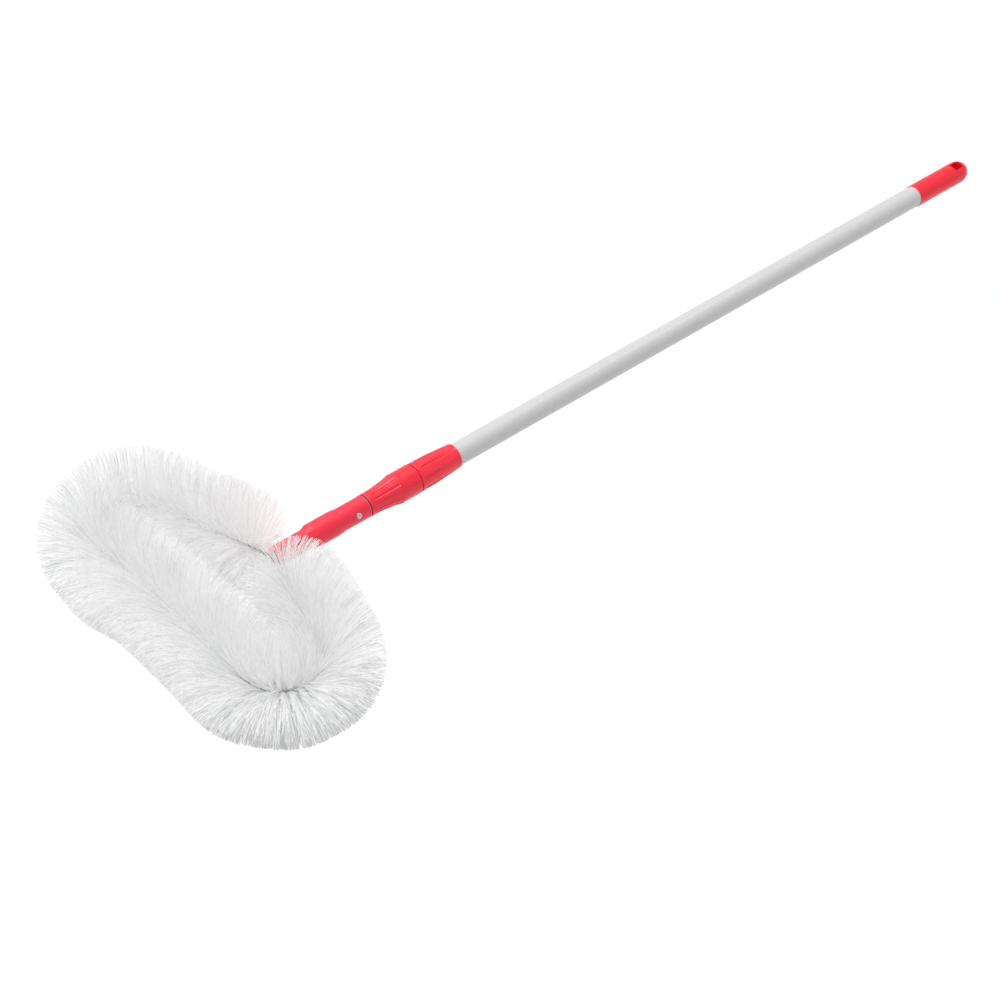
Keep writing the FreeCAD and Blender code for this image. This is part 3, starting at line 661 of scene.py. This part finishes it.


@dataclass
class BristlePile:
    """A share of the filaments on one stretch of the wire, pinched between its two strands."""

    loop: CoreLoop  # The wire's middle line
    stretch: Stretch  # The stretch that carries the pile
    share: Share  # Which share of the filaments this piece has
    seed: int  # Start of the random numbers
    lock_seed: int = 77  # Start of the random numbers that tufts have in common on all pieces
    # How much further on the random numbers of the rods' own turn and bend start
    roll_seed: int = 500
    density: float = 66000.0  # Filaments per metre of wire
    reach: float = 0.0600  # From the wire's middle to the tips
    # Shares of a filament's length at which its cross sections stand
    rings: tuple[float, ...] = (0.0, 0.55, 1.0)
    # Half its thickness there; the tip is split and so thicker than the root
    radii: tuple[float, ...] = (0.00004, 0.00013, 0.00020)
    flare: float = 0.7  # Share by which split tips are wider where tufts part outside a bend
    bend: float = 0.0008  # How far a filament's middle strays from a straight line
    tuck: float = 0.7  # How strongly roots gather on the twist, nought to one
    # Chance that a filament is missing on top between two turns, where wire shows
    gaps: float = 0.7
    # How far from a turn that begins and is full, nought to one
    gap_span: Pair = (0.4, 0.7)
    gap_rise: Pair = (0.4, 0.7)  # Sine of the angle at which it begins and is full
    # Least and greatest length that tips pass the middle between two stretches
    mingle: Pair = (0.004, 0.030)
    tries: int = 16  # How many points of a filament are tried for room
    first_try: float = 1.5  # How many steps from the root the first of them is
    back_off: float = 0.06  # Share of its length that a filament stops short of what is in its way
    least: float = 0.12  # Share of its length below which a filament is left out
    groom: Grooming = Grooming()  # How the filaments stray, thin out beside the socket, and grey
    edge: SocketSide = SocketSide()
    grey: Greying = Greying()
    socket: SocketOutline = field(default_factory=SocketOutline)  # The socket's outside

    @property
    def name(self) -> str:
        """The piece's name, from its node and its share."""
        return f"{self.stretch.value}_{self.share.name.lower()}"

    def places(self, rng: Rng) -> Arrays:
        """Spreads the roots along the wire and the filaments round it.

        Angles are even. Roots are drawn towards the twist: filaments leave a quarter turn from
        either strand, which is at their angle's share of a pitch, and again half a pitch on.

        Args:
            rng: the random numbers.

        Returns:
            Arrays by name: at, the root's length along the wire; angle, round it; drawn, how far
            the root was drawn back; inside, one where a filament looks straight into the loop;
            missing, the chance that it isn't there.
        """
        loop, whole, half = self.loop, self.loop.whole(), self.loop.pitch / 2
        full = loop.length(self.stretch)
        count = int(full * self.density * self.share.value)
        at = loop.begin(self.stretch) + (np.arange(count) + rng.random(count)) / count * full
        angle = rng.random(count) * TURN
        sheet = (angle / TURN - 0.25) * loop.pitch - loop.lead
        off = (at - sheet + half / 2) % half - half / 2
        near = np.exp(-np.minimum(at, whole - at) / self.edge.run)
        drawn = (self.tuck + (self.edge.tuck - self.tuck) * near) * off
        inside = np.clip(-np.cos(angle), 0.0, 1.0)
        between = np.interp(np.abs(off) / (half / 2), self.gap_span, (0.0, 1.0))
        on_top = np.interp(np.sin(angle), self.gap_rise, (0.0, 1.0))
        missing = np.maximum(self.edge.bare * near, self.gaps * between * on_top)
        at = np.clip(at - drawn, 0.0, whole)
        return {"at": at, "angle": angle, "drawn": drawn, "inside": inside, "missing": missing}

    def tufts(self, rng: Rng, laid: Arrays) -> Arrays:
        """Sorts the filaments into tufts: cells of place and angle that all pieces share.

        Args:
            rng: the random numbers.
            laid: the filaments' places.

        Returns:
            Arrays by name: tuft_at and tuft_angle, a tuft's middle, and lock, its random numbers.
        """
        groom, count = self.groom, len(laid["at"])
        along, round_it = (share * rng.standard_normal(count) for share in groom.tuft_blur)
        cell = np.floor(laid["at"] / groom.tuft_length + along)
        sector = np.floor(laid["angle"] / TURN * groom.tuft_round + round_it)
        key = cell.astype(np.int64) * TUFT_HASH[0] + sector.astype(np.int64) * TUFT_HASH[1]
        kinds = (groom.tuft_kinds, TUFT_DRAWS)
        lock = np.random.default_rng(self.lock_seed).standard_normal(kinds)[key % groom.tuft_kinds]
        middle = (cell + 0.5) * groom.tuft_length
        facing = (sector + 0.5) / groom.tuft_round * TURN
        return {"tuft_at": middle, "tuft_angle": facing, "lock": lock}

    def parting(self, laid: Arrays) -> Array:
        """How much further apart tips stand than their roots: above nought outside a bend."""
        return self.loop.curve(laid["at"]) * self.reach * np.cos(laid["angle"])

    def headings(self, rng: Rng, laid: Arrays) -> tuple[Array, Array]:
        """Finds where the filaments point.

        The filaments of a tuft lean together. Pinched at the wire, tufts fan out until their tips
        stand side by side. Inside the loop the tips push one another aside.

        Args:
            rng: the random numbers.
            laid: the filaments' places and tufts.

        Returns:
            The angle round the wire and the leaning along it.
        """
        groom, at, angle = self.groom, laid["at"], laid["angle"]
        lock, inside, count = laid["lock"], laid["inside"], len(laid["at"])
        gather = groom.gather * rng.random(count)
        tilt = angle + gather * (laid["tuft_angle"] - angle) + groom.tilt_stray[0] * lock[:, 0]
        tilt += (groom.tilt_stray[1] + groom.tilt_stray[2] * inside) * rng.standard_normal(count)
        lean = gather * (laid["tuft_at"] - at) / self.reach + groom.lean_stray[0] * lock[:, 1]
        lean += (groom.lean_stray[1] + groom.lean_stray[2] * inside) * rng.standard_normal(count)
        lean += groom.fan * laid["drawn"] * np.maximum(1.0 + self.parting(laid), 0.0) / self.reach
        sway = at / groom.wave_length
        slow, fast = groom.wave_lean
        lean += slow * np.sin(sway) + fast * np.sin(groom.wave_ratio * sway + angle)
        return tilt, lean

    def lengths(self, rng: Rng, laid: Arrays) -> Array:
        """Finds how long filaments are: uneven, worn inside, short at the socket, with swells.

        Args:
            rng: the random numbers.
            laid: the filaments' places and tufts.

        Returns:
            The lengths from root to tip.
        """
        groom, edge, at, count = self.groom, self.edge, laid["at"], len(laid["at"])
        share = 1.0 - groom.uneven[0] * np.abs(laid["lock"][:, 2])
        share -= groom.uneven[1] * np.abs(rng.standard_normal(count))
        share *= 1.0 - groom.inner_short * laid["inside"] * rng.random(count)
        first, last = edge.short_runs
        ends = np.exp(-at / first) + np.exp(-(self.loop.whole() - at) / last)
        share *= 1.0 - edge.short * ends
        for place, width, degrees, gain in groom.swells:
            facing = np.clip(np.cos(laid["angle"] - math.radians(degrees)), 0.0, 1.0)
            share *= 1.0 + gain * facing * np.exp(-(((at - place) / width) ** 2))
        return self.reach * share

    def shades(self, rng: Rng, laid: Arrays) -> Array:
        """Finds how grey the filaments are, with painted shade where they hang low.

        Args:
            rng: the random numbers.
            laid: the filaments' places and tufts.

        Returns:
            Nought for white to one for the greyest.
        """
        grey = self.grey
        low = np.clip(-np.sin(laid["angle"]), 0.0, 1.0)
        apart = np.clip(self.parting(laid), 0.0, 1.0)
        tone = grey.base + grey.stray * rng.standard_normal(len(low))
        tone += grey.tuft * laid["lock"][:, 3]
        # Painted shade: filaments that hang low are greyer, most where tufts part round the outside
        # of a bend.
        tone += grey.inner * laid["inside"] + low * (grey.low + grey.parted * apart)
        return np.clip(tone, 0.0, 1.0)

    def spread(self) -> Arrays:
        """Lays out the filaments' roots, directions and shades.

        A filament is its root plus f times its way, for f from nought to one. Its way is the
        outward side times the cosine of its angle, plus the wire's direction times its leaning,
        plus the sine upwards, scaled to its length.

        Returns:
            Arrays by name: root and way, as rows of (across, away, rise); tone; wide, a factor on
            the thickness; rand, a random number for trimming; bare, whether the filament is
            missing.
        """
        rng = np.random.default_rng(self.seed)
        laid = self.places(rng)
        laid.update(self.tufts(rng, laid))
        tilt, lean = self.headings(rng, laid)
        points, out = self.loop.line(laid["at"])
        # From the right leg to the left one, the outward side turned a quarter is the way ahead.
        along = np.stack([out[:, 1], -out[:, 0]], axis=1)
        flat_way = out * np.cos(tilt)[:, None] + along * lean[:, None]
        way = unit(np.column_stack([flat_way, np.sin(tilt)])) * self.lengths(rng, laid)[:, None]
        count = len(tilt)
        root = np.column_stack([points, np.zeros(count)])
        bare = rng.random(count) < laid["missing"]
        wide = 1.0 + self.flare * np.clip(self.parting(laid), 0.0, 1.0)
        return {
            "root": root, "way": way, "tone": self.shades(rng, laid), "wide": wide,
            "rand": rng.random(count), "bare": bare,
        }

    def trimmed(self, laid: Arrays) -> Array:
        """Finds how far filaments run before they meet another stretch's ones or the socket.

        Points along each filament are tried. One is free while it is outside the socket and nearer
        to its own stretch than to any other, give or take the mingling length.

        Args:
            laid: the filaments as laid out.

        Returns:
            The free share of each filament, nought to one.
        """
        free = np.ones(len(laid["tone"]))
        blocked = np.zeros(len(free), dtype=bool)
        rivals = [s for s in Stretch if s is not self.stretch]
        slack = self.mingle[0] + (self.mingle[1] - self.mingle[0]) * laid["rand"]
        for step in np.linspace(self.first_try / self.tries, 1.0, self.tries):
            point = laid["root"] + laid["way"] * step
            flat, rise = point[:, :2], point[:, 2]
            own = self.loop.distance(self.stretch, flat)
            others = np.min([self.loop.distance(s, flat) for s in rivals], axis=0)
            hit = (own > others + slack) | self.socket.inside(flat, rise)
            free[hit & ~blocked] = step - self.back_off
            blocked |= hit
        return free

    def mesh(self) -> bpy.types.Mesh:
        """Makes the filaments' mesh: slim three-sided rods, a little bent and cut off flat.

        A cross section's corners stand a third of a turn apart, at the radius along one cross
        direction times the cosine plus the other times the sine. Its middle is the root plus f
        times the way plus four f times one less f times the bend. Each rod is closed and has its
        cell on the map.

        Returns:
            The mesh, with the filaments' shade and distance from the root as attributes.
        """
        laid = self.spread()
        free = self.trimmed(laid)
        keep = (free > self.least) & ~laid["bare"]
        root, way, tone, wide = (laid[k][keep] for k in ("root", "way", "tone", "wide"))
        way = way * free[keep][:, None]
        count = len(tone)
        heading = unit(way)
        level = np.tile([0.0, 0.0, 1.0], (count, 1))
        level[np.abs(heading[:, 2]) > UPRIGHT] = [1.0, 0.0, 0.0]
        across = unit(np.cross(heading, level))
        beside = np.cross(heading, across)
        rng = np.random.default_rng(self.seed + self.roll_seed)
        turn = (rng.random(count)[:, None] + np.arange(SIDES) / SIDES) * TURN
        cos, sin = np.cos(turn)[..., None], np.sin(turn)[..., None]
        ring = across[:, None, :] * cos + beside[:, None, :] * sin
        stray = self.bend * rng.standard_normal((count, 2))
        bow = across * stray[:, :1] + beside * stray[:, 1:]
        share = np.array(self.rings)[None, :, None]
        middle = root[:, None, :] + way[:, None, :] * share
        middle = middle + bow[:, None, :] * 4 * share * (1 - share)
        radius = np.array(self.radii) * (1.0 + (wide[:, None] - 1.0) * np.array(self.rings))
        points = middle[:, :, None, :] + radius[:, :, None, None] * ring[:, None, :, :]
        placed = self.loop.place(points[..., :2].reshape(-1, 2), points[..., 2].reshape(-1))
        pattern = self.rod_faces(len(self.rings))
        corners = SIDES * len(self.rings)
        faces = (pattern[None] + corners * np.arange(count)[:, None, None]).reshape(-1, 3)
        made = mesh_from(self.name, placed, faces)
        shade = np.repeat(tone, corners).astype(np.float32)
        made.attributes.new("tone", "FLOAT", "POINT").data.foreach_set("value", shade)
        length = np.linalg.norm(way, axis=1) / self.reach
        distance = (np.repeat(self.rings, SIDES)[None] * length[:, None]).ravel().astype(np.float32)
        made.attributes.new("along", "FLOAT", "POINT").data.foreach_set("value", distance)
        self.lay_map(made, count)
        return made

    @staticmethod
    def rod_faces(rings: int) -> Array:
        """Triangles of a three-sided rod whose corners are numbered ring by ring.

        Args:
            rings: how many cross sections it has.

        Returns:
            Three corner numbers per triangle: the root's end, the sides, and the tip's end.
        """
        top = SIDES * (rings - 1)
        here = np.arange(top)
        beside = here - here % SIDES + (here + 1) % SIDES
        sides = np.stack([here, beside, beside + SIDES, here, beside + SIDES, here + SIDES], axis=1)
        return np.concatenate([[[0, 2, 1]], sides.reshape(-1, 3), [[top, top + 1, top + 2]]])

    def lay_map(self, made: bpy.types.Mesh, count: int) -> None:
        """Gives each filament a cell of the map: its sides in columns above its two ends.

        Args:
            made: the filaments' mesh.
            count: how many filaments it has.
        """
        spans = len(self.rings) - 1
        column, row = (a.ravel() for a in np.meshgrid(np.arange(SIDES), np.arange(spans)))
        left, low = column / SIDES, MAP_ENDS + (1 - MAP_ENDS) * row / spans
        right, high = left + MAP_SIDE[0], low + MAP_SIDE[1] / spans
        corners = [left, low, right, low, right, high, left, low, right, high, left, high]
        sides = np.stack(corners, axis=1)
        root, tip = (np.array(MAP_END) + [[start, 0.0]] for start in MAP_STARTS)
        cell_map = np.concatenate([root, sides.reshape(-1, 2), tip])
        wide = int(math.ceil(math.sqrt(count)))
        cell = np.stack([np.arange(count) % wide, np.arange(count) // wide], axis=1)
        spots = (cell[:, None, :] + MAP_RIM + (1 - 2 * MAP_RIM) * cell_map[None]) / wide
        layer = made.uv_layers.new(name=BAKE_MAP)
        layer.uv.foreach_set("vector", spots.astype(np.float32).ravel())

    def build(self, finish: BristleFinish) -> None:
        """Makes the piece, dresses it and lets it ride on the sliding half of the pole.

        Args:
            finish: the filaments' finish.
        """
        piece = put(self.name, self.mesh())
        piece.data.materials.append(finish.material())
        if self.share is Share.CLEAR:
            piece.visible_shadow = False
            piece.visible_diffuse = False
        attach(piece, "inner_pole")
        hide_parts(self.stretch.value)
        LOG.info("built %s with %d triangles", self.name, len(piece.data.polygons))


def mesh_from(name: str, points: Array, faces: Array) -> bpy.types.Mesh:
    """Fills a mesh from whole arrays.

    Args:
        name: the mesh's name.
        points: one row per vertex.
        faces: one row of three vertex numbers per triangle.

    Returns:
        The mesh, shaded flat.
    """
    made = bpy.data.meshes.new(name)
    made.vertices.add(len(points))
    made.vertices.foreach_set("co", points.astype(np.float32).ravel())
    made.loops.add(faces.size)
    made.loops.foreach_set("vertex_index", faces.astype(np.int32).ravel())
    made.polygons.add(len(faces))
    made.polygons.foreach_set("loop_start", np.arange(0, faces.size, 3, dtype=np.int32))
    made.polygons.foreach_set("use_smooth", np.zeros(len(faces), dtype=bool))
    made.update(calc_edges=True)
    return made


@dataclass
class BrushHead:
    """Twisted wire loop with its bristles, and the socket that holds the wire's ends."""

    loop: CoreLoop = field(default_factory=CoreLoop)
    bristle: BristleFinish = BristleFinish()
    wire: Finish = Finish(
        "zinc_coated_wire", linear(176, 178, 178), linear(214, 215, 214), roughness=0.38,
        swing=0.12, metallic=1.0, grain=700.0, patch=0.55, scuff_scale=200.0, scuff_share=0.3,
    )
    # The socket's rim at its end by the nut is a painted highlight of that edge; rim_share and
    # rim_width are raised for it and hold for the tip's rim too.
    socket: Finish = Finish(
        "red_socket_plastic", linear(240, 32, 63), linear(250, 140, 152), roughness=0.34, coat=0.1,
        grain=1400.0, rims=(-0.42545, -0.31040), rim_width=0.0009, rim_share=0.9, scuff_share=0.16,
    )
    rivet: Finish = Finish(
        "rivet_aluminium", linear(198, 198, 196), linear(245, 245, 244), roughness=0.3,
        metallic=1.0, grain=2500.0, relief=0.00001, patch=0.3, scuff_scale=500.0,
    )
    mandrel: Finish = Finish(
        "mandrel_steel", linear(118, 118, 116), linear(150, 150, 148), roughness=0.45,
        metallic=1.0, grain=2500.0, relief=0.00002, patch=0.5, scuff_scale=500.0,
    )

    def piles(self) -> list[BristlePile]:
        """The piles in their order round the loop, each stretch in its two shares."""
        return [
            BristlePile(self.loop, stretch, share, SEED_STEP * index + number)
            for index, stretch in enumerate(Stretch)
            for number, share in enumerate(Share)
        ]

    def build(self) -> None:
        """Makes the bristles and dresses wire, socket and rivet."""
        for pile in self.piles():
            pile.build(self.bristle)
        for node in ("core_wire_a", "core_wire_b"):
            dress(node, self.wire)
        dress("brush_socket", self.socket)
        dress("socket_rivet", self.rivet)
        dress("rivet_mandrel", self.mandrel)


@dataclass
class TwistLock:
    """Sleeve, nut and collet that hold the sliding tube."""

    nut: Finish = FlutedFinish(
        "red_nut_plastic", linear(238, 22, 50), linear(248, 132, 144), roughness=0.3, coat=0.15,
        rims=(-0.30825, -0.24585), scuff_share=0.2,
        flutes=14, span=(-0.302, -0.268),
    )
    sleeve: Finish = FlutedFinish(
        "red_sleeve_plastic", linear(242, 25, 52), linear(250, 138, 148), roughness=0.3, coat=0.15,
        rims=(-0.24385, -0.19025), scuff_share=0.2,
        flutes=8, span=(-0.240, -0.190), ridge_share=0.08,
    )
    collet: Finish = Finish(
        "dark_collet_plastic", linear(62, 62, 64), linear(104, 104, 106), roughness=0.5,
        grain=1500.0, scuff_scale=150.0,
    )

    def build(self) -> None:
        """Dresses the three pieces."""
        dress("lock_nut", self.nut)
        dress("lock_sleeve", self.sleeve)
        dress("lock_collet", self.collet)


@dataclass
class Pole:
    """Two tubes with the guide bush between them, and the hang cap."""

    outer: Finish = Finish(
        "grey_tube_coat", linear(199, 199, 199), linear(232, 232, 231), roughness=0.36, swing=0.05,
        coat=0.1, grain=1100.0, relief=0.00002, patch=0.07, scuff_scale=90.0,
        scuff_stretch=(0.06, 5.0, 5.0), scuff_share=0.06,
    )
    # The slid tube has a ring of painted shade, tinted red, in the gap by the socket's end.
    inner: Finish = Finish(
        "slid_tube_coat", linear(200, 201, 202), linear(236, 236, 236), roughness=0.3, swing=0.06,
        coat=0.3, grain=1100.0, relief=0.00002, patch=0.08, scuff_scale=120.0,
        scuff_stretch=(0.02, 6.0, 6.0), scuff_share=0.3, gap_shade_stations=(-0.3093,),
    )
    cap: Finish = Finish(
        "red_cap_plastic", linear(241, 12, 45), linear(248, 130, 140), roughness=0.32, coat=0.1,
        rims=(0.51875,), scuff_share=0.2,
    )
    guide: Finish = Finish(
        "dark_guide_plastic", linear(58, 58, 60), linear(110, 110, 112), roughness=0.45,
        grain=1500.0, scuff_scale=150.0, scuff_stretch=(0.1, 4.0, 4.0),
    )

    def build(self) -> None:
        """Dresses tubes, bush and cap."""
        dress("outer_tube", self.outer)
        dress("inner_tube", self.inner)
        dress("guide_bush", self.guide)
        dress("hang_cap", self.cap)


@dataclass(frozen=True)
class Lamp:
    """A rectangular soft lamp."""

    name: str  # The lamp's name
    power: float  # Its power in watts
    size: Pair  # Its width and height
    at: Point  # Where it hangs
    aim: Point = ORIGIN  # The point that it faces

    def build(self) -> None:
        """Hangs the lamp with its width square to y."""
        data = bpy.data.lights.new(self.name, "AREA")
        data.shape = "RECTANGLE"
        data.size, data.size_y = self.size
        data.energy = self.power
        back = unit(np.array([self.at]) - np.array([self.aim]))
        side = unit(np.cross([0.0, 1.0, 0.0], back))
        top = np.cross(back, side)
        put(self.name, data).matrix_world = frame_of(side[0], top[0], back[0], self.at)


@dataclass
class Studio:
    """White floor and surroundings, soft lamps and the camera."""

    floor_height: float = -0.18  # Height of the floor, low enough for the head to turn over it
    floor_half: float = 8.0  # Half the floor's width
    floor_cells: int = 8  # How many cells of its grid go across
    floor_tone: float = 0.7  # How much light it throws back
    glow: float = 1.06  # Strength of its plain white, and how much of that the camera sees
    glow_share: float = 0.85
    fill: float = 0.75  # Strength of the even light from all round
    # A large lamp behind the head, and a narrow one that draws a line along the tube
    lamps: tuple[Lamp, ...] = (
        Lamp("key_lamp", 47.0, (2.4, 1.8), (-0.45, 1.05, 2.4)),
        Lamp("strip_lamp", 2.0, (0.5, 0.06), (0.86, 0.18, 1.31), (0.05, 0.0, 0.06)),
    )
    lens: float = 88.38  # Focal length and width of the picture in millimetres
    sensor: float = 36.0
    sight: float = 50.0  # How far the camera sees
    stand: Point = (-1.4003, -1.5564, 1.7202)  # Where the camera is
    right: Point = (0.76008, -0.64932, -0.02570)  # Its three axes
    up: Point = (0.44266, 0.48840, 0.75201)
    back: Point = (-0.47574, -0.58297, 0.65865)

    def floor(self) -> None:
        """Makes the floor: a flat grid, white to the camera but for a share that takes shadow."""
        cells = self.floor_cells
        steps = np.linspace(-self.floor_half, self.floor_half, cells + 1)
        x, y = (a.ravel() for a in np.meshgrid(steps, steps))
        first = (np.arange(cells)[:, None] * (cells + 1) + np.arange(cells)).ravel()
        last = first + cells + 2
        faces = np.stack([first, first + 1, last, first, last, last - 1], axis=1).reshape(-1, 3)
        points = np.column_stack([x, y, np.full(x.size, self.floor_height)])
        piece = put("studio_floor", mesh_from("studio_floor", points, faces))
        white = bpy.data.materials.new("floor_white")
        board = board_of(white)
        matt = board.add("ShaderNodeBsdfDiffuse", {"Color": (self.floor_tone,) * 3 + (1.0,)})
        glow = board.add("ShaderNodeEmission", {"Color": WHITE, "Strength": self.glow})
        path = board.add("ShaderNodeLightPath").outputs
        seen = board.calc("MAXIMUM", path["Is Camera Ray"], path["Is Glossy Ray"])
        seen = board.calc("MAXIMUM", seen, path["Is Transmission Ray"])
        share = board.calc("MULTIPLY", seen, self.glow_share)
        board.surface("MixShader", {0: share, 1: matt.outputs[0], 2: glow.outputs[0]})
        piece.data.materials.append(white)

    def surroundings(self) -> None:
        """Makes the world: plain white to the camera, and an even, softer light for the object."""
        world = bpy.data.worlds.new("studio_world")
        bpy.context.scene.world = world
        board = board_of(world)
        seen = board.add("ShaderNodeLightPath").outputs["Is Camera Ray"]
        colour = board.mix(seen, (self.fill,) * 3 + (1.0,), WHITE)
        board.surface("Background", {"Color": colour, "Strength": 1.0}, "World")

    def camera(self) -> None:
        """Sets the camera at the photograph's place."""
        data = bpy.data.cameras.new("camera")
        data.lens, data.sensor_width, data.clip_end = self.lens, self.sensor, self.sight
        camera = put("camera", data)
        camera.matrix_world = frame_of(self.right, self.up, self.back, self.stand)
        bpy.context.scene.camera = camera

    def build(self) -> None:
        """Makes floor, world, lamps and camera."""
        self.floor()
        self.surroundings()
        for lamp in self.lamps:
            lamp.build()
        self.camera()
        bpy.context.scene.view_settings.view_transform = "Standard"


def frame_of(x: Any, y: Any, z: Any, at: Any) -> Matrix:
    """Puts three axes and a place into one matrix."""
    columns = [tuple(x) + (0.0,), tuple(y) + (0.0,), tuple(z) + (0.0,), tuple(at) + (1.0,)]
    return Matrix(columns).transposed()


def main() -> None:
    """Builds the brush's head, lock and pole, then the studio."""
    logging.basicConfig(level=logging.INFO, format="%(message)s")
    BrushHead().build()
    TwistLock().build()
    Pole().build()
    Studio().build()


if __name__ == "__main__":
    main()
